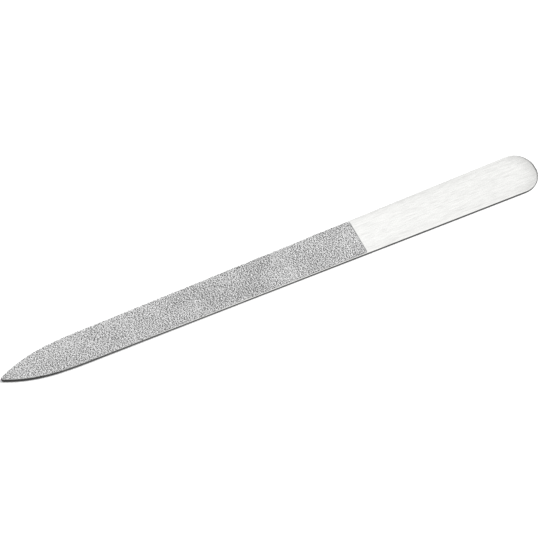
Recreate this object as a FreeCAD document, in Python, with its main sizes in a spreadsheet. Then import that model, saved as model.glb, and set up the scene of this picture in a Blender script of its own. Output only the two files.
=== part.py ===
import FreeCAD, Part
import math
import os
import Sketcher

# A flat metal nail file. One steel stamping is both blade and handle: a blunt
# spear point, sides that widen evenly towards the handle, and a full rounded
# handle end with tumbled rims. Both flat faces of the blade carry a coat with
# a straight border at the handle: a layer of plated nickel, and the diamond
# crystals that stand out of it. The steel edges stay bare.
#
# Frame: +X from the tip towards the handle end, +Z up, origin on the surface
# that the file lies on, under the middle of its length. Lengths are in
# millimetres.

# Driving sizes, in the order of the sheet
SIZES = {
    # The stamping in plan
    "blank_length": 175.0,
    "shoulder_distance": 25.5,
    "shoulder_width": 10.92,
    "end_width": 14.1,
    "nose_radius": 0.7,
    "bend_distance_share": 0.66,
    "bend_width_share": 0.928,
    "corner_radius": 6.5,
    "corner_limit_share": 0.97,
    "end_radius": 22.0,
    # The stamping in section
    "blank_thickness": 0.9,
    "rim_radius": 0.2,
    "rim_limit_share": 0.45,
    # The coat of each blade face
    "coat_length": 115.7,
    "coat_margin": 0.05,
    "border_corner_radius": 0.5,
    "bond_thickness": 0.06,
    "grit_margin": 0.04,
    "grit_height": 0.06,
}

doc = FreeCAD.newDocument("NailFile")
sheet = doc.addObject("Spreadsheet::Sheet", "Sizes")
for row, (alias, size) in enumerate(SIZES.items(), start=1):
    sheet.set(f"A{row}", alias)
    sheet.set(f"B{row}", str(size))
    sheet.setAlias(f"B{row}", alias)
doc.recompute()

# Points of a sketch line or arc. A sketch's own X axis starts at its origin.
START, END, CENTRE = range(1, 4)
ORIGIN_POINT = (-1, START)
LENGTH_AXIS = ORIGIN_POINT[0]


def sized(formula):
    """A formula with each size name written as the sheet's cell."""
    words = []
    for word in formula.replace("(", "( ").replace(")", " )").split():
        words.append("Sizes." + word if word in SIZES else word)
    return " ".join(words)


def value(formula):
    """What a formula of size names comes to."""
    result = sheet.evalExpression(sized(formula))
    return float(getattr(result, "Value", result))


# Formulas that the sketches share
TAPER = "atan( ( end_width - shoulder_width ) / 2 / ( blank_length - shoulder_distance ) )"
BEND_RISE = "shoulder_width / 2 * ( 1 - bend_width_share )"
BEND_RUN = "shoulder_distance * ( 1 - bend_distance_share )"
BEND_ANGLE = f"( 2 * atan( {BEND_RISE} / ( {BEND_RUN} ) ) - {TAPER} )"
RIM = "min( rim_radius ; blank_thickness * rim_limit_share )"
BOND_INSET = f"( {RIM} + coat_margin )"
GRIT_INSET = f"( {RIM} + coat_margin + grit_margin )"


def arc(centre, radius, start_angle, end_angle):
    """A counterclockwise arc of a sketch; angles in radians."""
    circle = Part.Circle(centre, FreeCAD.Vector(0, 0, 1), radius)
    return Part.ArcOfCircle(circle, start_angle, end_angle)


def mirrored(point):
    """A point's mirror image across the centre line."""
    return FreeCAD.Vector(point.x, -point.y, 0)


def upward(angle):
    """The unit direction square to a side that leans by this angle."""
    return FreeCAD.Vector(-math.sin(angle), math.cos(angle), 0)


class PlanOutline:
    """The file's outline in plan, or one parallel to it at an inset.

    From the tip each side runs nose, flank arc, shoulder arc, taper line. The
    curves are drawn where the sizes put them, joined by tangency, and then
    held there by dimensions, so the finished sketch has no freedom left.
    """

    def __init__(self, sketch, inset):
        self.sketch = sketch
        self.inset = inset
        self.taper = math.radians(value(TAPER))
        self.bend = math.radians(value(BEND_ANGLE))
        self.nose_radius = f"nose_radius - {inset}"
        self.nose_x = "nose_radius - blank_length / 2"
        self.shoulder_x = f"shoulder_distance - blank_length / 2 + {inset} * sin( {TAPER} )"
        self.shoulder_y = f"shoulder_width / 2 - {inset} * cos( {TAPER} )"
        self.bend_x = (f"shoulder_distance * bend_distance_share - blank_length / 2"
                       f" + {inset} * sin( {BEND_ANGLE} )")
        self.bend_y = f"shoulder_width / 2 * bend_width_share - {inset} * cos( {BEND_ANGLE} )"
        self.loop = []

    def dimension(self, kind, target, formula):
        """A dimension bound to the sheet. DistanceX and DistanceY run from the origin."""
        first = ORIGIN_POINT if kind.startswith("Distance") else ()
        self.sketch.addConstraint(Sketcher.Constraint(kind, *first, *target, value(formula)))
        self.sketch.setExpression(f"Constraints[{self.sketch.ConstraintCount - 1}]", sized(formula))

    def hold(self, kind, *target):
        """A constraint with no size."""
        self.sketch.addConstraint(Sketcher.Constraint(kind, *target))

    def draw_front(self):
        """Nose, flanks and shoulders, counterclockwise from the upper shoulder."""
        nose_centre = FreeCAD.Vector(value(self.nose_x), 0, 0)
        nose_radius = value(self.nose_radius)
        self.shoulder = FreeCAD.Vector(value(self.shoulder_x), value(self.shoulder_y), 0)
        bend_point = FreeCAD.Vector(value(self.bend_x), value(self.bend_y), 0)

        chord = self.shoulder.sub(bend_point).Length
        shoulder_radius = chord / (2 * math.sin((self.bend - self.taper) / 2))
        shoulder_centre = self.shoulder - upward(self.taper) * shoulder_radius

        reach = bend_point - nose_centre
        clear = reach.dot(upward(self.bend)) - nose_radius
        flank_radius = (reach.dot(reach) - nose_radius ** 2) / (2 * clear)
        flank_centre = bend_point - upward(self.bend) * flank_radius

        quarter = math.pi / 2
        turn = 2 * math.pi
        to_nose = nose_centre - flank_centre
        nose_angle = math.atan2(to_nose.y, to_nose.x)
        taper_angle = quarter + self.taper
        bend_angle = quarter + self.bend
        self.upper_shoulder = self.add(arc(shoulder_centre, shoulder_radius, taper_angle, bend_angle))
        self.upper_flank = self.add(arc(flank_centre, flank_radius, bend_angle, nose_angle))
        self.nose = self.add(arc(nose_centre, nose_radius, nose_angle, turn - nose_angle))
        self.lower_flank = self.add(arc(mirrored(flank_centre), flank_radius,
                                        turn - nose_angle, turn - bend_angle))
        self.lower_shoulder = self.add(arc(mirrored(shoulder_centre), shoulder_radius,
                                           turn - bend_angle, turn - taper_angle))

    def add(self, curve):
        """A curve at the end of the loop."""
        self.loop.append(self.sketch.addGeometry(curve, False))
        return self.loop[-1]

    def close_and_size_front(self):
        """Tangency all round the loop, and the dimensions of its front."""
        for curve, follower in zip(self.loop, self.loop[1:] + self.loop[:1]):
            self.hold("Tangent", curve, END, follower, START)
        self.dimension("Radius", (self.nose,), self.nose_radius)
        self.dimension("DistanceX", (self.nose, CENTRE), self.nose_x)
        self.hold("PointOnObject", self.nose, CENTRE, LENGTH_AXIS)
        self.dimension("DistanceX", (self.upper_flank, START), self.bend_x)
        self.dimension("DistanceY", (self.upper_flank, START), self.bend_y)
        self.hold("Symmetric", self.upper_flank, START, self.lower_flank, END, LENGTH_AXIS)
        self.dimension("DistanceX", (self.upper_shoulder, START), self.shoulder_x)
        self.dimension("DistanceY", (self.upper_shoulder, START), self.shoulder_y)
        self.hold("Symmetric", self.upper_shoulder, START, self.lower_shoulder, END, LENGTH_AXIS)

    def size_tapers(self, lower_taper, upper_taper):
        """Taper lines of like lean, which reach their full width at the end of the blank."""
        self.hold("Vertical", lower_taper, END, upper_taper, START)
        full_x = "blank_length / 2"
        full_y = f"end_width / 2 - {self.inset} / cos( {TAPER} )"
        full_width = Part.Point(FreeCAD.Vector(value(full_x), value(full_y), 0))
        mark = self.sketch.addGeometry(full_width, True)
        self.hold("PointOnObject", mark, START, upper_taper)
        self.dimension("DistanceX", (mark, START), full_x)
        self.dimension("DistanceY", (mark, START), full_y)

    def close_with_rounded_end(self):
        """Corner arcs and a gently bowed end: the handle's end."""
        corner_radius = "min( corner_radius ; end_width / 2 * corner_limit_share )"
        corner = value(corner_radius)
        end_radius = value("end_radius")
        end_centre_x = "blank_length / 2 - end_radius"
        end_centre = FreeCAD.Vector(value(end_centre_x), 0, 0)
        along = FreeCAD.Vector(math.cos(self.taper), math.sin(self.taper), 0)
        offset = self.shoulder - upward(self.taper) * corner - end_centre
        lean = offset.dot(along)
        run = math.sqrt(lean ** 2 - offset.dot(offset) + (end_radius - corner) ** 2) - lean
        corner_centre = end_centre + offset + along * run
        side_end = corner_centre + upward(self.taper) * corner
        to_corner = corner_centre - end_centre
        end_angle = math.atan2(to_corner.y, to_corner.x)
        side_angle = math.pi / 2 + self.taper

        lower_taper = self.add(Part.LineSegment(mirrored(self.shoulder), mirrored(side_end)))
        lower_corner = self.add(arc(mirrored(corner_centre), corner, -side_angle, -end_angle))
        bow = self.add(arc(end_centre, end_radius, -end_angle, end_angle))
        upper_corner = self.add(arc(corner_centre, corner, end_angle, side_angle))
        upper_taper = self.add(Part.LineSegment(side_end, self.shoulder))

        self.close_and_size_front()
        self.size_tapers(lower_taper, upper_taper)
        self.dimension("Radius", (upper_corner,), corner_radius)
        self.hold("Equal", upper_corner, lower_corner)
        self.dimension("Radius", (bow,), "end_radius")
        self.dimension("DistanceX", (bow, CENTRE), end_centre_x)
        self.hold("PointOnObject", bow, CENTRE, LENGTH_AXIS)

    def close_with_border(self):
        """A straight border across the blade with small round corners: the coat's edge."""
        border = "coat_length - blank_length / 2"
        corner_radius = "border_corner_radius"
        corner = value(corner_radius)
        border_x = value(border)
        slope = math.tan(self.taper)
        corner_x = border_x - corner
        corner_y = (self.shoulder.y + slope * (corner_x - self.shoulder.x)
                    - corner / math.cos(self.taper))
        corner_centre = FreeCAD.Vector(corner_x, corner_y, 0)
        side_end = corner_centre + upward(self.taper) * corner
        border_end = FreeCAD.Vector(border_x, corner_y, 0)
        side_angle = math.pi / 2 + self.taper

        lower_taper = self.add(Part.LineSegment(mirrored(self.shoulder), mirrored(side_end)))
        lower_corner = self.add(arc(mirrored(corner_centre), corner, -side_angle, 0))
        across = self.add(Part.LineSegment(mirrored(border_end), border_end))
        upper_corner = self.add(arc(corner_centre, corner, 0, side_angle))
        upper_taper = self.add(Part.LineSegment(side_end, self.shoulder))

        self.close_and_size_front()
        self.size_tapers(lower_taper, upper_taper)
        self.hold("Vertical", across)
        self.dimension("DistanceX", (across, START), border)
        self.dimension("Radius", (upper_corner,), corner_radius)
        self.hold("Equal", upper_corner, lower_corner)


def plate(name, draw, thickness, height):
    """A body with one sketch in plan, padded up to a thickness and set at a height."""
    body = doc.addObject("PartDesign::Body", name)
    body.Label = name
    sketch = body.newObject("Sketcher::SketchObject", name + "_plan")
    plan_plane = next(plane for plane in body.Origin.OriginFeatures if plane.Role == "XY_Plane")
    sketch.AttachmentSupport = (plan_plane, "")
    sketch.MapMode = "FlatFace"
    draw(sketch)
    pad = body.newObject("PartDesign::Pad", name + "_pad")
    pad.Profile = sketch
    pad.setExpression("Length", sized(thickness))
    body.setExpression("Placement.Base.z", sized(height))
    doc.recompute()
    freedom = sketch.solve()
    if freedom != 0 or not sketch.FullyConstrained:
        raise RuntimeError(f"the sketch of {name} isn't fully constrained")
    return body, pad


def flat_faces(shape):
    """The names of a plate's two flat faces."""
    names = []
    for number, face in enumerate(shape.Faces, start=1):
        if isinstance(face.Surface, Part.Plane) and abs(face.normalAt(0, 0).z) > math.cos(math.pi / 4):
            names.append(f"Face{number}")
    return names


def make_blank():
    """The stamping, with the rims of both faces tumbled round."""
    def draw(sketch):
        outline = PlanOutline(sketch, "0")
        outline.draw_front()
        outline.close_with_rounded_end()

    body, pad = plate("steel_blank", draw, "blank_thickness", "grit_height + bond_thickness")
    rims = body.newObject("PartDesign::Fillet", "steel_blank_rims")
    rims.Base = (pad, flat_faces(pad.Shape))
    rims.setExpression("Radius", sized(RIM))
    doc.recompute()
    return body


def make_coat_layer(name, inset, thickness, height):
    """One layer of a blade face's coat, parallel to the blank's outline."""
    def draw(sketch):
        outline = PlanOutline(sketch, inset)
        outline.draw_front()
        outline.close_with_border()

    body, _ = plate(name, draw, thickness, height)
    return body


def make_file():
    """Every piece of the file, from the surface that it lies on upwards."""
    blank_top = "grit_height + bond_thickness + blank_thickness"
    return [
        make_coat_layer("back_diamond_grit", GRIT_INSET, "grit_height", "0"),
        make_coat_layer("back_nickel_bond", BOND_INSET, "bond_thickness", "grit_height"),
        make_blank(),
        make_coat_layer("front_nickel_bond", BOND_INSET, "bond_thickness", blank_top),
        make_coat_layer("front_diamond_grit", GRIT_INSET, "grit_height",
                        blank_top + " + bond_thickness"),
    ]


def check(bodies):
    """Stops with a message if an object failed or a piece isn't one sound solid."""
    for item in doc.Objects:
        if "Invalid" in item.State or "Error" in item.State:
            raise RuntimeError(f"{item.Label} failed: {item.State}")
    for body in bodies:
        if body.Shape.isNull() or not body.Shape.isValid() or len(body.Shape.Solids) != 1:
            raise RuntimeError(f"{body.Label} isn't one valid solid")


def write(bodies):
    """One STEP file for each piece."""
    os.makedirs("parts", exist_ok=True)
    for body in bodies:
        body.Shape.exportStep(f"parts/{body.Label}.step")
        box = body.Shape.BoundBox
        print(f"{body.Label}: volume {body.Shape.Volume:.3f} mm3, "
              f"X {box.XMin:.2f} to {box.XMax:.2f}, Y {box.YMin:.2f} to {box.YMax:.2f}, "
              f"Z {box.ZMin:.3f} to {box.ZMax:.3f}")


pieces = make_file()
doc.recompute()
check(pieces)
write(pieces)
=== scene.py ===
import math

import bpy
import numpy as np
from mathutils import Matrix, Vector
from mathutils.kdtree import KDTree


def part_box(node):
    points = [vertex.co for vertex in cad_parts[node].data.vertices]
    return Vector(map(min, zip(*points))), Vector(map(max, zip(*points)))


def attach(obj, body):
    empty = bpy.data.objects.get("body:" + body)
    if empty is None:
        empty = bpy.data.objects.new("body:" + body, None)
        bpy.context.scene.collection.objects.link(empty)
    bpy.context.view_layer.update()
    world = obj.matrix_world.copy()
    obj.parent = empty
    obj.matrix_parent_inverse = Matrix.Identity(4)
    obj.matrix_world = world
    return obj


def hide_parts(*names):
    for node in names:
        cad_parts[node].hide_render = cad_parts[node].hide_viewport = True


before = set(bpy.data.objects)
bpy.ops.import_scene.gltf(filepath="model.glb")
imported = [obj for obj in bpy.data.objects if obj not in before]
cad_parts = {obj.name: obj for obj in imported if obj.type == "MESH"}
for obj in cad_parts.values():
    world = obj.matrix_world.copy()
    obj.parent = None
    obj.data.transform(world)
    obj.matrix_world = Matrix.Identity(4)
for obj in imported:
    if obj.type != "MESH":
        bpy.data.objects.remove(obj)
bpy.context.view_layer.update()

MM = 0.001

# The camera's aim, direction and lens, which give the photograph's view of the file
AIM = Vector((-0.68, 0.61, 1.02)) * MM
AZIMUTH = math.radians(-25.688)
ELEVATION = math.radians(55.99)
DISTANCE = 1180 * MM
LENS = 266.2
SENSOR_WIDTH = 36
CLIP_START = 0.05
CLIP_END = 20

# How finely the outlines are drawn, and how alike the sides of one arc are
OUTLINE_TURN = math.radians(2)
OUTLINE_STEP = 2.5 * MM
SEARCH_STEP = 0.2 * MM
SAME_HEIGHT = 1e-7
DECIMALS = 8
UNLIKE_SHARE = 0.05

# The blank's rounded rims, and the wide soft margin that tumbling leaves beside them
RIM_STEPS = 16
END_RIM = 0.55 * MM
END_FALL = 0.42 * MM
END_FACES = (0.4, 0.95)
MARGIN_STEPS = 6
BLADE_MARGIN = 0.25 * MM
HANDLE_MARGIN = 1.5 * MM
END_MARGIN = 4.5 * MM
BEYOND_MARGIN = (0.1 * MM, 1.5 * MM)
MARGIN_SLOPE = 0.067
MARGIN_GROWS = (-10 * MM, 45 * MM)
END_GROWS = (78 * MM, 86 * MM)

# Painted shade on the handle's steel: how far in from its outline its tone is darkened, and by what
# shares.
# The far side, at +Y, also has a thin painted dark line. The near side has the most painted shade
# beside the handle's end.
PAINTED_SHADE_FADES = (0.8 * MM, 3.2 * MM)
PAINTED_SHADE_SHARE = 0.035
FAR_SHADE_LINE_FADES = (0.3 * MM, 0.9 * MM)
FAR_SHADE_LINE_SHARE = 0.04
FAR_SHADE_ENDS = (64 * MM, 80 * MM)
NEAR_SHADE_STARTS = 0.7 * MM
NEAR_END_SHADE_SHARE = 0.065
NEAR_END_SHADE_GROWS = (70 * MM, 86 * MM)

# How far the sheared sides lean outward towards the back face near the tip and along the handle
TIP_DRAFT = 0.21 * MM
TIP_DRAFT_FADES = (-84 * MM, -68 * MM)
HANDLE_DRAFT = 0.08 * MM

# How steep the rims are where the dark sheared edge colour starts: at the tip, along the handle, at its
# end.
# Where it starts lower, at the tip and the handle's end, the dark colour on the rim is partly painted
# shade and dark reflection.
EDGE_STARTS = (math.radians(10), math.radians(52))
EDGE_NARROWS = (-80 * MM, 0 * MM)
END_EDGE_STARTS = math.radians(32)

# The nickel skin that takes the coat on over the rims, and where it draws back beside the border
SKIN_STEPS = 6
SKIN_THICKNESS = 0.012 * MM
SKIN_ROOT = 0.06 * MM
SKIN_INSET = 0.17 * MM
SKIN_DRAWS_BACK = 12 * MM

# The crystals: blocks with a three-cornered foot and a smaller three-cornered top.
# Corners 0 to 2 are the top's and 3 to 5 the foot's.
CRYSTAL_SIDES = [(0, 1, 2), (5, 4, 3), (0, 3, 1), (1, 4, 2), (2, 5, 0), (3, 4, 1), (4, 5, 2), (5, 3, 0)]
CRYSTAL_PITCH = 0.32 * MM
CRYSTAL_JITTER = 0.34
CRYSTAL_TURN_JITTER = 0.3
CRYSTAL_RADII = (0.14 * MM, 0.225 * MM)
CRYSTAL_TOP_SHARES = (0.5, 0.9)
CRYSTAL_REACH_SHARES = (0.25, 1.0)
CRYSTAL_FOOT = 0.035 * MM
CRYSTAL_MARGIN = 0.2 * MM
CRYSTAL_SHIFT = 0.12 * MM
CRYSTAL_OVERHANG = 0.05 * MM
BORDER_MARGIN = 0.3 * MM
SEED = 20

# How many crystals are bright, how unevenly, and what a crystal passes on to the ones after it
BRIGHT_CRYSTAL_SHARE = 0.655
BRIGHT_CRYSTAL_NOISE = 0.3
PATCH_SIZE = 16
PATCH_SHARE = 0.15
PASSED_AHEAD = 0.4
PASSED_DOWN = (0.2, 0.3, 0.1)

# How strong each finer part of a noise is beside the one before it
NOISE_ROUGHNESS = 0.6

# Brushed steel: the sizes of its lines along X, Y and Z, how they mix, and the looks they give
FINE_LINES = (2.5 * MM, 0.05 * MM, 0.05 * MM)
SHORT_LINES = (2.8 * MM, 0.28 * MM, 0.28 * MM)
BROAD_LINES = (30 * MM, 0.4 * MM, 0.4 * MM)
BROAD_SHARE = 0.3
FINE_SHARE = 0.25
LINE_DEPTH = 0.002 * MM
STEEL_TONES = [(0.34, 0.805), (0.5, 0.93), (0.66, 0.98)]
STEEL_BLUE = 0.982
STEEL_ROUGHNESS = [(0.3, 0.34), (0.7, 0.22)]

# The sheared edge, whose tone changes from the tip at 0 to the handle's end at 1.
# Its darkness is partly the sheared steel's own and partly a painted dark reflection; its change along
# the file is painted shade, darkest at the tip.
EDGE_GRAIN = (0.5 * MM, 0.5 * MM, 0.12 * MM)
EDGE_GRAIN_TONES = [(0.3, 0.7), (0.7, 1.0)]
EDGE_TONES_AND_SHADE = [(0.03, 0.07), (0.12, 0.11), (0.3, 0.14), (0.7, 0.09)]
EDGE_DEPTH = 0.004 * MM
EDGE_ROUGHNESS = 0.55

# Nickel and diamond
NICKEL_GRAIN = (0.12 * MM, 0.12 * MM, 0.12 * MM)
NICKEL_TONES = [(0.3, 0.35), (0.7, 0.6)]
NICKEL_DEPTH = 0.015 * MM
NICKEL_ROUGHNESS = 0.5
# The crystals' shades, near black and near white, are partly their own tones and partly painted glints
# and dark reflections
DIAMOND_SHADES = (0.02, 0.09, 0.92, 0.98)
DIAMOND_ROUGHNESS = 0.25
DIAMOND_IOR = 2.4

# The floor: its grey for the light it passes on, and what the camera and gloss see instead
FLOOR_SIZE = 8.0
FLOOR_GREY = 0.8
SEEN_GREY = 0.58
SEEN_GLOW = 0.34

# The lamp and the sky. The three tables are the greys of the sky that gloss sees, each by one part
# of the direction: its Z, its X, and its Y, counted from 0 at -Y to 1 at +Y.
LAMP_WAY = Vector((0.5, 0.03, 0.87))
LAMP_DISTANCE = 1.6
LAMP_SIZE = 0.45
LAMP_WATTS = 31.5
SKY_STRENGTH = 0.42
GLOSS_STRENGTH = 1.275
UPWARD_SKY = [(0.0, 0.35), (0.4, 0.575), (0.75, 0.82), (0.83, 0.885), (0.9, 0.885), (0.94, 1.0),
              (0.955, 1.0), (0.98, 0.77), (1.0, 0.73)]
RIGHTWARD_SKY = [(0.32, 1.0), (0.4, 0.88), (0.52, 0.15), (0.7, 0.05)]
SIDEWAYS_SKY = [(0.2, 0.8), (0.35, 0.1), (0.54, 0.2), (0.61, 1.0), (0.725, 0.0), (0.8, 0.0), (0.9, 0.8)]


def material(name):
    """A material with an empty node tree."""
    made = bpy.data.materials.new(name)
    made.use_nodes = True
    made.node_tree.nodes.clear()
    return made, made.node_tree


def node(tree, kind, **settings):
    """A shader node. Settings are its properties, or values of the inputs they name."""
    made = tree.nodes.new(kind)
    for key, value in settings.items():
        if hasattr(made, key):
            setattr(made, key, value)
        else:
            made.inputs[key.replace("_", " ")].default_value = value
    return made


def link(tree, output, target):
    tree.links.new(output, target)


def ramp(tree, source, stops, blue=1.0):
    """A colour ramp of greys on a factor. Less blue makes them warmer."""
    made = node(tree, "ShaderNodeValToRGB")
    elements = made.color_ramp.elements
    while len(elements) < len(stops):
        elements.new(0.5)
    for element, (place, grey) in zip(elements, stops):
        element.position = place
        element.color = (grey, grey, grey * blue, 1)
    link(tree, source, made.inputs["Fac"])
    return made.outputs["Color"]


def counted(tree, operation, *terms):
    """The result of a Math node on numbers and on other nodes' results."""
    made = node(tree, "ShaderNodeMath", operation=operation)
    for target, term in zip(made.inputs, terms):
        if isinstance(term, float):
            target.default_value = term
        else:
            link(tree, term, target)
    return made.outputs[0]


def blended(tree, kind, first, second):
    """Two colours put together by a kind of blend, such as MULTIPLY or LIGHTEN."""
    made = node(tree, "ShaderNodeMix", data_type="RGBA", blend_type=kind)
    made.inputs["Factor"].default_value = 1.0
    link(tree, first, made.inputs["A"])
    link(tree, second, made.inputs["B"])
    return made.outputs["Result"]


def mixed(tree, first, second, share):
    """share of the second factor and the rest of the first."""
    made = node(tree, "ShaderNodeMix", data_type="FLOAT")
    made.inputs["Factor"].default_value = share
    link(tree, first, made.inputs["A"])
    link(tree, second, made.inputs["B"])
    return made.outputs["Result"]


def chosen(tree, factor, without, within):
    """One shader where a factor is 0 and another where it is 1."""
    made = node(tree, "ShaderNodeMixShader")
    link(tree, factor, made.inputs["Fac"])
    link(tree, without.outputs[0], made.inputs[1])
    link(tree, within.outputs[0], made.inputs[2])
    return made


def axes_of(tree, space):
    """The X, Y and Z of a place in one of the coordinate spaces, or of a direction in the sky."""
    place = node(tree, "ShaderNodeTexCoord")
    split = node(tree, "ShaderNodeSeparateXYZ")
    link(tree, place.outputs[space], split.inputs["Vector"])
    return split.outputs


def noise_at(tree, grain, detail, seed=0.0):
    """Noise in the piece's own space; grain is its size in metres along X, Y and Z."""
    place = node(tree, "ShaderNodeTexCoord")
    stretch = node(tree, "ShaderNodeMapping")
    stretch.inputs["Scale"].default_value = [1 / length for length in grain]
    stretch.inputs["Location"].default_value = (seed, seed, seed)
    link(tree, place.outputs["Object"], stretch.inputs["Vector"])
    noise = node(tree, "ShaderNodeTexNoise", Scale=1.0, Detail=detail, Roughness=NOISE_ROUGHNESS)
    link(tree, stretch.outputs["Vector"], noise.inputs["Vector"])
    return noise.outputs["Fac"]


def along_file(tree):
    """0 at the file's tip and 1 at its other end."""
    spread = node(tree, "ShaderNodeMapRange")
    spread.inputs["From Min"].default_value = Steel.low.x
    spread.inputs["From Max"].default_value = Steel.high.x
    link(tree, axes_of(tree, "Object")["X"], spread.inputs["Value"])
    return spread.outputs["Result"]


def finished(tree, shader, height=None, depth=0.0):
    """Puts the bump and the output on a shader."""
    if height is not None:
        bump = node(tree, "ShaderNodeBump", Strength=1.0, Distance=depth)
        link(tree, height, bump.inputs["Height"])
        link(tree, bump.outputs["Normal"], shader.inputs["Normal"])
    output = node(tree, "ShaderNodeOutputMaterial")
    link(tree, shader.outputs[0], output.inputs["Surface"])


def brushed_steel():
    """Bright stainless steel, belt-ground along its length, with painted shade near the handle's
    outline.
    """
    made, tree = material("brushed_steel")
    shader = node(tree, "ShaderNodeBsdfPrincipled", Metallic=1.0)
    fine = noise_at(tree, FINE_LINES, detail=2.0)
    short = noise_at(tree, SHORT_LINES, detail=3.0, seed=3.0)
    broad = noise_at(tree, BROAD_LINES, detail=2.0, seed=7.0)
    lines = mixed(tree, mixed(tree, short, broad, BROAD_SHARE), fine, FINE_SHARE)
    tone = ramp(tree, lines, STEEL_TONES, blue=STEEL_BLUE)
    # Painted shade: the share stored on the mesh darkens the steel's tone near the handle's outline
    painted_shade = node(tree, "ShaderNodeAttribute", attribute_name="painted_shade")
    unshaded = counted(tree, "SUBTRACT", 1.0, painted_shade.outputs["Fac"])
    link(tree, blended(tree, "MULTIPLY", tone, unshaded), shader.inputs["Base Color"])
    link(tree, ramp(tree, lines, STEEL_ROUGHNESS), shader.inputs["Roughness"])
    finished(tree, shader, fine, LINE_DEPTH)
    return made


def stamped_edge():
    """The sheared side of the stamping: duller than the ground faces, and darker, partly by painted
    dark reflection and painted shade.
    """
    made, tree = material("stamped_edge")
    shader = node(tree, "ShaderNodeBsdfPrincipled", Metallic=1.0, Roughness=EDGE_ROUGHNESS)
    noise = noise_at(tree, EDGE_GRAIN, detail=4.0)
    grain = ramp(tree, noise, EDGE_GRAIN_TONES)
    # Painted shade: the edge grows darker towards the tip
    tone = ramp(tree, along_file(tree), EDGE_TONES_AND_SHADE)
    link(tree, blended(tree, "MULTIPLY", grain, tone), shader.inputs["Base Color"])
    finished(tree, shader, noise, EDGE_DEPTH)
    return made


def nickel():
    """Matte electroplated nickel between the crystals."""
    made, tree = material("nickel_bond")
    shader = node(tree, "ShaderNodeBsdfPrincipled", Metallic=1.0, Roughness=NICKEL_ROUGHNESS)
    noise = noise_at(tree, NICKEL_GRAIN, detail=5.0)
    link(tree, ramp(tree, noise, NICKEL_TONES), shader.inputs["Base Color"])
    finished(tree, shader, noise, NICKEL_DEPTH)
    return made


def crystal_kind(number, shade):
    """One of the kinds of crystal in the grit, from near black to near white: partly the crystals' own
    tones, partly painted glints and dark reflections.
    """
    made, tree = material(f"diamond_{number}")
    shader = node(tree, "ShaderNodeBsdfPrincipled", Roughness=DIAMOND_ROUGHNESS, IOR=DIAMOND_IOR)
    shader.inputs["Base Color"].default_value = (shade, shade, shade, 1)
    finished(tree, shader)
    return made


def unit(vectors):
    return vectors / np.linalg.norm(vectors, axis=1)[:, None]


def smooth_step(x, start, end):
    t = np.clip((x - start) / (end - start), 0, 1)
    return t * t * (3 - 2 * t)


def between(limits, share):
    return limits[0] + (limits[1] - limits[0]) * share


def corner_tangents(corners):
    """The directions of an outline of arcs and straight sides at its corners.

    Each halves the angle between the corner's two sides where they are alike. Where an arc ends,
    it is the direction at the arc's last corner but one, mirrored in the side between them.
    """
    ahead = np.roll(corners, -1, axis=0) - corners
    length = np.linalg.norm(ahead, axis=1)
    way = unit(ahead)
    came = np.roll(way, 1, axis=0)
    tangents = unit(way + came)
    even = np.abs(length / np.roll(length, 1) - 1) < UNLIKE_SHARE
    for i in np.where(~even)[0]:
        beside = i - 1 if even[i - 1] else (i + 1) % len(corners)
        chord = came[i] if beside == i - 1 else way[i]
        tangents[i] = 2 * (chord @ tangents[beside]) * chord - tangents[beside]
    return tangents


def curved_side(start, end, length, leaves, arrives):
    """Places from one corner to before the next, on a curve that leaves and arrives by its tangents."""
    turn = math.acos(min(1.0, leaves @ arrives))
    steps = max(math.ceil(turn / OUTLINE_TURN), math.ceil(length / OUTLINE_STEP))
    t = (np.arange(steps) / steps)[:, None]
    return ((2 * t ** 3 - 3 * t ** 2 + 1) * start + (3 * t ** 2 - 2 * t ** 3) * end
            + (t ** 3 - 2 * t ** 2 + t) * length * leaves + (t ** 3 - t ** 2) * length * arrives)


def outline_at(name, height):
    """A CAD node's outline at one height, in plan and anticlockwise, and its outward directions.

    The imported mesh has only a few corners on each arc, so its sides are curved again here.
    """
    places = np.array([v.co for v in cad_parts[name].data.vertices])
    level = places[np.abs(places[:, 2] - height) < SAME_HEIGHT][:, :2]
    level = np.unique(np.round(level, DECIMALS), axis=0)
    middle = level.mean(axis=0)
    corners = level[np.argsort(np.arctan2(level[:, 1] - middle[1], level[:, 0] - middle[0]))]

    following = np.roll(corners, -1, axis=0)
    lengths = np.linalg.norm(following - corners, axis=1)
    leaves = corner_tangents(corners)
    arrives = np.roll(leaves, -1, axis=0)
    sides = zip(corners, following, lengths, leaves, arrives)
    drawn = np.concatenate([curved_side(*side) for side in sides])
    tangents = unit(unit(np.roll(drawn, -1, axis=0) - drawn) + unit(drawn - np.roll(drawn, 1, axis=0)))
    return drawn, np.stack([tangents[:, 1], -tangents[:, 0]], axis=1)


class Steel:
    """The blank's sizes, read from its CAD node."""
    low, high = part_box("steel_blank")
    middle = (low.z + high.z) / 2
    levels = np.unique(np.round([v.co.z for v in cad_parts["steel_blank"].data.vertices], DECIMALS))
    wall_top = levels[levels > middle].min()
    rim = high.z - wall_top
    outline, outward = outline_at("steel_blank", wall_top)


class Tumbled:
    """The rims and soft margins that tumbling leaves, at each place of the blank's outline."""
    along = Steel.outline[:, 0]
    handle = smooth_step(along, *MARGIN_GROWS)
    end = smooth_step(along, *END_GROWS)
    turned = smooth_step(Steel.outward[:, 0], *END_FACES)
    rim = Steel.rim + (END_RIM - Steel.rim) * turned
    margin = BLADE_MARGIN + (HANDLE_MARGIN - BLADE_MARGIN) * handle + (END_MARGIN - HANDLE_MARGIN) * end
    beyond = between(BEYOND_MARGIN, handle * (1 - end))


def rim_height(inset):
    """The front face's height at a distance in from the blank's outline, on the blade."""
    short = np.clip(Steel.rim - inset, 0, Steel.rim)
    return Steel.wall_top + np.sqrt(Steel.rim ** 2 - short ** 2)


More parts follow.
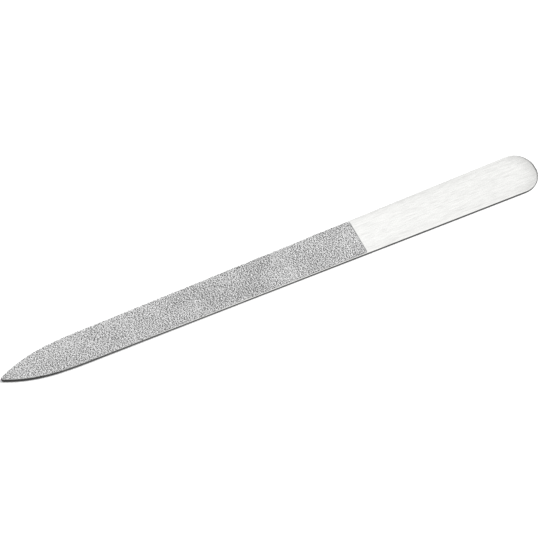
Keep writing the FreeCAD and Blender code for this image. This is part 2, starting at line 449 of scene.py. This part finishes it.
def insets(places):
    """How far each place lies in from the blank's outline, and the outward direction there."""
    ahead = np.roll(Steel.outline, -1, axis=0) - Steel.outline
    steps = np.ceil(np.linalg.norm(ahead, axis=1) / SEARCH_STEP).astype(int)
    start = np.repeat(np.arange(len(steps)), steps)
    part = np.concatenate([np.arange(n) / n for n in steps])[:, None]
    turned = np.roll(Steel.outward, -1, axis=0) - Steel.outward
    spots = Steel.outline[start] + ahead[start] * part
    outward = Steel.outward[start] + turned[start] * part
    tree = KDTree(len(spots))
    for i, (x, y) in enumerate(spots):
        tree.insert((x, y, 0), i)
    tree.balance()
    near = np.array([tree.find((x, y, 0))[1] for x, y in places])
    return -((places - spots[near]) * outward[near]).sum(axis=1), outward[near]


def skinned(name, rings, slots):
    """A closed mesh through rings of corners, from the first to the last, with a face on each end."""
    count = len(rings[0])
    here = np.arange(count)
    ahead = np.roll(here, -1)
    faces = []
    for i in range(len(rings) - 1):
        upper = count * i
        lower = upper + count
        faces += np.stack([upper + here, lower + here, lower + ahead, upper + ahead], axis=1).tolist()
    faces.append(here.tolist())
    faces.append((count * (len(rings) - 1) + here[::-1]).tolist())
    data = bpy.data.meshes.new(name)
    data.from_pydata(np.concatenate(rings).tolist(), [], faces)
    for slot in slots:
        data.materials.append(slot)
    data.polygons.foreach_set("use_smooth", [True] * (len(faces) - 2) + [False, False])
    data.update()
    return data


def placed(name, data, replaced):
    """Puts a mesh in the scene as a piece of the file."""
    piece = bpy.data.objects.new(name, data)
    bpy.context.collection.objects.link(piece)
    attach(piece, "root")
    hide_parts(replaced)


def turned_over(rings):
    """Rings of the front face moved to the back face, in the order that keeps their faces outward."""
    return [np.c_[ring[:, :2], 2 * Steel.middle - ring[:, 2]] for ring in rings[::-1]]


def front_profile():
    """The front face from its flat middle out to the wall: distances in from the outline, and heights.

    Around the rim, the angle falls from a right angle beside the margin to zero at the wall.
    """
    drop = MARGIN_SLOPE * Tumbled.margin / 2
    lean = MARGIN_SLOPE * Tumbled.rim / 2
    fall = Steel.rim + (END_FALL - Steel.rim) * Tumbled.turned - drop - lean
    profile = [(Tumbled.rim + Tumbled.margin + Tumbled.beyond, np.full(len(drop), Steel.high.z))]
    for step in range(MARGIN_STEPS, 0, -1):
        share = step / MARGIN_STEPS
        profile.append((Tumbled.rim + Tumbled.margin * share, Steel.high.z - drop * (1 - share) ** 2))
    for step in range(RIM_STEPS, -1, -1):
        angle = math.pi / 2 * step / RIM_STEPS
        short = 1 - math.cos(angle)
        height = Steel.high.z - drop - lean * (1 - short ** 2) - fall * (1 - math.sin(angle))
        profile.append((Tumbled.rim * short, height))
    return profile


def sheared_lean():
    """How far the back face's outline lies outside the front face's, as a shift of each place."""
    draft = TIP_DRAFT * (1 - smooth_step(Tumbled.along, *TIP_DRAFT_FADES))
    draft = draft + HANDLE_DRAFT * Tumbled.handle * (1 - Tumbled.end)
    draft = draft * Steel.outward[:, 1] ** 2
    return np.c_[Steel.outward * draft[:, None], np.zeros(len(draft))]


def painted_shade_at(inset):
    """The share of painted shade that darkens the handle's steel at distances in from its outline."""
    far = np.clip(Steel.outward[:, 1], 0, 1)
    near = np.clip(-Steel.outward[:, 1], 0, 1)
    at_end = smooth_step(Tumbled.along, *FAR_SHADE_ENDS)
    wide = PAINTED_SHADE_SHARE * (1 - far * at_end / 2)
    wide = wide + NEAR_END_SHADE_SHARE * near ** 2 * smooth_step(Tumbled.along, *NEAR_END_SHADE_GROWS)
    wide = wide * (1 - smooth_step(inset, *PAINTED_SHADE_FADES)) * (1 - Tumbled.turned)
    wide = wide * (1 - near * (1 - smooth_step(inset, 0, NEAR_SHADE_STARTS)))
    thin = FAR_SHADE_LINE_SHARE * far * (1 - at_end) * (1 - smooth_step(inset, *FAR_SHADE_LINE_FADES))
    return Tumbled.handle * (wide + thin)


def make_blank(steel, edge):
    """The stamping with finely rounded rims and soft margins, in the place of its CAD solid."""
    profile = front_profile()
    front = [np.c_[Steel.outline - Steel.outward * inset[:, None], height] for inset, height in profile]
    back = [ring + sheared_lean() for ring in turned_over(front)]
    data = skinned("ground_blank", front + back, (steel, edge))
    # Painted shade near the handle's outline, stored on the mesh for the steel's colour
    painted_shades = [painted_shade_at(inset) for inset, height in profile]
    painted_shade = data.attributes.new("painted_shade", "FLOAT", "POINT")
    painted_shade.data.foreach_set("value", np.concatenate(painted_shades + painted_shades[::-1]))
    # Rim faces steeper than these take the dark edge colour, partly as painted shade near the tip and
    # the handle's end
    starts = between(EDGE_STARTS, smooth_step(Tumbled.along, *EDGE_NARROWS))
    starts = np.cos(starts + (END_EDGE_STARTS - starts) * Tumbled.turned)
    for index, quad in enumerate(data.polygons):
        quad.material_index = int(abs(quad.normal.z) < starts[index % len(starts)])
    placed("ground_blank", data, "steel_blank")


def make_bed(name, replaced, side, bond):
    """The plated nickel under the crystals, which thins out over the blade's rims."""
    low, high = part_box("front_nickel_bond")
    inner, outward = outline_at("front_nickel_bond", high.z)
    spread = (Steel.rim - SKIN_INSET) * smooth_step(high.x - inner[:, 0], 0, SKIN_DRAWS_BACK)
    over = []
    under = []
    for step in range(SKIN_STEPS + 1):
        share = step / SKIN_STEPS
        plan = inner + outward * (spread * share)[:, None]
        base = rim_height(Steel.rim - spread * share)
        lost = (high.z - low.z - SKIN_THICKNESS) * smooth_step(share, 0, 1)
        lost = lost * spread / spread.max()
        over.append(np.c_[plan, base + high.z - low.z - lost])
        under.append(np.c_[plan, base - SKIN_ROOT])
    rings = over + under[::-1]
    if side < 0:
        rings = turned_over(rings)
    placed(name, skinned(name, rings, (bond,)), replaced)


def patches(rng, shape):
    """A smooth random field from -1 to 1 on a grid, for the slightly lighter and darker patches."""
    rows, columns = (np.arange(length) / PATCH_SIZE for length in shape)
    coarse = rng.uniform(-1, 1, (int(rows[-1]) + 2, int(columns[-1]) + 2))
    wide = np.array([np.interp(columns, np.arange(len(line)), line) for line in coarse])
    return np.array([np.interp(rows, np.arange(len(line)), line) for line in wide.T]).T


def bright_crystals(rng, shape):
    """Which crystals of a grid are bright: at random, but dark and bright ones seldom lie in groups.

    What each crystal misses of the wanted share is passed on to the ones after it.
    """
    wanted = BRIGHT_CRYSTAL_SHARE + rng.uniform(-BRIGHT_CRYSTAL_NOISE, BRIGHT_CRYSTAL_NOISE, (shape[0] + 1, shape[1] + 2))
    wanted += PATCH_SHARE * patches(rng, wanted.shape)
    clear = np.zeros(shape, dtype=int)
    for row in range(shape[0]):
        for column in range(1, shape[1] + 1):
            clear[row, column - 1] = wanted[row, column] > 0.5
            missed = wanted[row, column] - clear[row, column - 1]
            wanted[row, column + 1] += missed * PASSED_AHEAD
            wanted[row + 1, column - 1:column + 2] += missed * np.array(PASSED_DOWN)
    return clear


def crystal_places(rng):
    """Jittered places on a hexagonal grid inside the coat.

    Each comes with how far in from the outline it is, and with 1 if it is bright, 0 if dark.
    """
    low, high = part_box("front_diamond_grit")
    xs = np.arange(Steel.low.x, high.x, CRYSTAL_PITCH)
    ys = np.arange(low.y - Steel.rim, high.y + Steel.rim, CRYSTAL_PITCH * math.sqrt(3) / 2)
    grid_x, grid_y = np.meshgrid(xs, ys)
    grid_x[1::2] += CRYSTAL_PITCH / 2
    jitter = rng.uniform(-CRYSTAL_JITTER, CRYSTAL_JITTER, (2, *grid_x.shape)) * CRYSTAL_PITCH
    places = np.stack([grid_x + jitter[0], grid_y + jitter[1]], axis=-1).reshape(-1, 2)
    inset, outward = insets(places)
    room = CRYSTAL_MARGIN - CRYSTAL_SHIFT * outward[:, 1]
    room = room + Steel.rim * (1 - smooth_step(high.x - places[:, 0], 0, SKIN_DRAWS_BACK))
    inside = (inset > room) & (places[:, 0] < high.x - BORDER_MARGIN)
    # The crystals marked clear here are the bright ones, whose near-white shade is partly a painted
    # glint
    clear = bright_crystals(rng, grid_x.shape).ravel()
    return places[inside], inset[inside], clear[inside]


def crystal_corners(rng, places, inset):
    """The corners of the front face's crystals: each one's top, then its foot, sunk in the bond."""
    low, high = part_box("front_diamond_grit")
    count = len(places)
    third = 2 * math.pi / 3
    turn = rng.uniform(0, third, count)[:, None] + np.arange(3) * third
    turn = np.concatenate([turn, turn + third / 2], axis=1)
    turn = turn + rng.uniform(-CRYSTAL_TURN_JITTER, CRYSTAL_TURN_JITTER, (count, 6))
    radius = rng.uniform(*CRYSTAL_RADII, (count, 6))
    radius[:, :3] *= rng.uniform(*CRYSTAL_TOP_SHARES, (count, 3))
    radius = np.minimum(radius, inset[:, None] + CRYSTAL_OVERHANG)
    bed = low.z - (Steel.high.z - rim_height(inset))
    bed = bed - (low.z - Steel.high.z) * (1 - smooth_step(inset, 0, Steel.rim))
    top = bed[:, None] + (high.z - low.z) * rng.uniform(*CRYSTAL_REACH_SHARES, (count, 3))
    foot = np.repeat(bed[:, None] - CRYSTAL_FOOT, 3, axis=1)
    x = places[:, :1] + radius * np.cos(turn)
    y = places[:, 1:] + radius * np.sin(turn)
    return np.stack([x, y, np.concatenate([top, foot], axis=1)], axis=2)


def make_crystals(name, replaced, side, kinds):
    """One blade face's crystals, uneven and turned at random, in one mesh."""
    rng = np.random.default_rng(SEED + side)
    places, inset, clear = crystal_places(rng)
    corners = crystal_corners(rng, places, inset)
    count = len(places)
    # Near-black and near-white shades, partly painted glints and dark reflections
    shade = 2 * clear + rng.integers(0, 2, count)
    faces = (np.array(CRYSTAL_SIDES)[None] + 6 * np.arange(count)[:, None, None]).reshape(-1, 3)
    if side < 0:
        corners[:, :, 2] = 2 * Steel.middle - corners[:, :, 2]
        faces = faces[:, ::-1]

    data = bpy.data.meshes.new(name)
    data.vertices.add(count * 6)
    data.vertices.foreach_set("co", corners.ravel())
    data.loops.add(faces.size)
    data.loops.foreach_set("vertex_index", faces.ravel())
    data.polygons.add(len(faces))
    data.polygons.foreach_set("loop_start", np.arange(len(faces)) * 3)
    for kind in kinds:
        data.materials.append(kind)
    data.polygons.foreach_set("material_index", np.repeat(shade, len(CRYSTAL_SIDES)))
    data.update(calc_edges=True)
    placed(name, data, replaced)


def make_floor():
    """A plain white floor, which the camera and gloss see white outside the contact shadow."""
    made, tree = material("floor")
    path = node(tree, "ShaderNodeLightPath").outputs
    glossy = counted(tree, "MAXIMUM", path["Is Glossy Ray"], path["Is Transmission Ray"])
    seen = counted(tree, "MAXIMUM", path["Is Camera Ray"], glossy)
    plain = node(tree, "ShaderNodeBsdfDiffuse", Color=(FLOOR_GREY, FLOOR_GREY, FLOOR_GREY, 1))
    soft = node(tree, "ShaderNodeBsdfDiffuse", Color=(SEEN_GREY, SEEN_GREY, SEEN_GREY, 1))
    glow = node(tree, "ShaderNodeEmission", Color=(1, 1, 1, 1), Strength=SEEN_GLOW)
    bright = node(tree, "ShaderNodeAddShader")
    link(tree, soft.outputs[0], bright.inputs[0])
    link(tree, glow.outputs[0], bright.inputs[1])
    finished(tree, chosen(tree, seen, plain, bright))
    bpy.ops.mesh.primitive_plane_add(size=FLOOR_SIZE, location=(0, 0, 0))
    floor = bpy.context.object
    floor.name = "floor"
    floor.data.materials.append(made)


def make_lamp():
    """A soft box above the handle's end, which gloss doesn't see."""
    lamp = bpy.data.lights.new("soft_box", "AREA")
    lamp.size = LAMP_SIZE
    lamp.energy = LAMP_WATTS
    box = bpy.data.objects.new("soft_box", lamp)
    box.visible_glossy = False
    box.location = LAMP_WAY * LAMP_DISTANCE
    box.rotation_euler = box.location.to_track_quat("Z", "Y").to_euler()
    bpy.context.collection.objects.link(box)


def make_sky():
    """White for the camera, even and dim for other light, and a studio of bright bands for gloss."""
    world = bpy.data.worlds.new("studio")
    world.use_nodes = True
    tree = world.node_tree
    tree.nodes.clear()
    path = node(tree, "ShaderNodeLightPath").outputs
    way = axes_of(tree, "Generated")
    upward = ramp(tree, way["Z"], UPWARD_SKY)
    rightward = ramp(tree, way["X"], RIGHTWARD_SKY)
    sideways = ramp(tree, counted(tree, "MULTIPLY_ADD", way["Y"], 0.5, 0.5), SIDEWAYS_SKY)
    around = blended(tree, "LIGHTEN", rightward, sideways)
    mirrored = node(tree, "ShaderNodeBackground", Strength=GLOSS_STRENGTH)
    link(tree, blended(tree, "MULTIPLY", upward, around), mirrored.inputs["Color"])
    even = node(tree, "ShaderNodeBackground", Color=(1, 1, 1, 1), Strength=SKY_STRENGTH)
    white = node(tree, "ShaderNodeBackground", Color=(1, 1, 1, 1), Strength=1.0)
    lights = chosen(tree, path["Is Glossy Ray"], even, mirrored)
    output = node(tree, "ShaderNodeOutputWorld")
    link(tree, chosen(tree, path["Is Camera Ray"], lights, white).outputs[0], output.inputs["Surface"])
    bpy.context.scene.world = world


def make_camera():
    """The photograph's view, from a long lens."""
    flat = math.cos(ELEVATION)
    back = Vector((math.sin(AZIMUTH) * flat, -math.cos(AZIMUTH) * flat, math.sin(ELEVATION)))
    data = bpy.data.cameras.new("camera")
    data.lens = LENS
    data.sensor_width = SENSOR_WIDTH
    data.clip_start = CLIP_START
    data.clip_end = CLIP_END
    camera = bpy.data.objects.new("camera", data)
    camera.location = AIM + back * DISTANCE
    camera.rotation_euler = back.to_track_quat("Z", "Y").to_euler()
    bpy.context.collection.objects.link(camera)
    bpy.context.scene.camera = camera


make_camera()
make_lamp()
make_sky()
make_floor()
bpy.context.scene.view_settings.view_transform = "Standard"
make_blank(brushed_steel(), stamped_edge())
bond = nickel()
kinds = [crystal_kind(number, shade) for number, shade in enumerate(DIAMOND_SHADES)]
for name, side in (("front", 1), ("back", -1)):
    make_bed(f"{name}_bond_skin", f"{name}_nickel_bond", side, bond)
    make_crystals(f"{name}_crystals", f"{name}_diamond_grit", side, kinds)
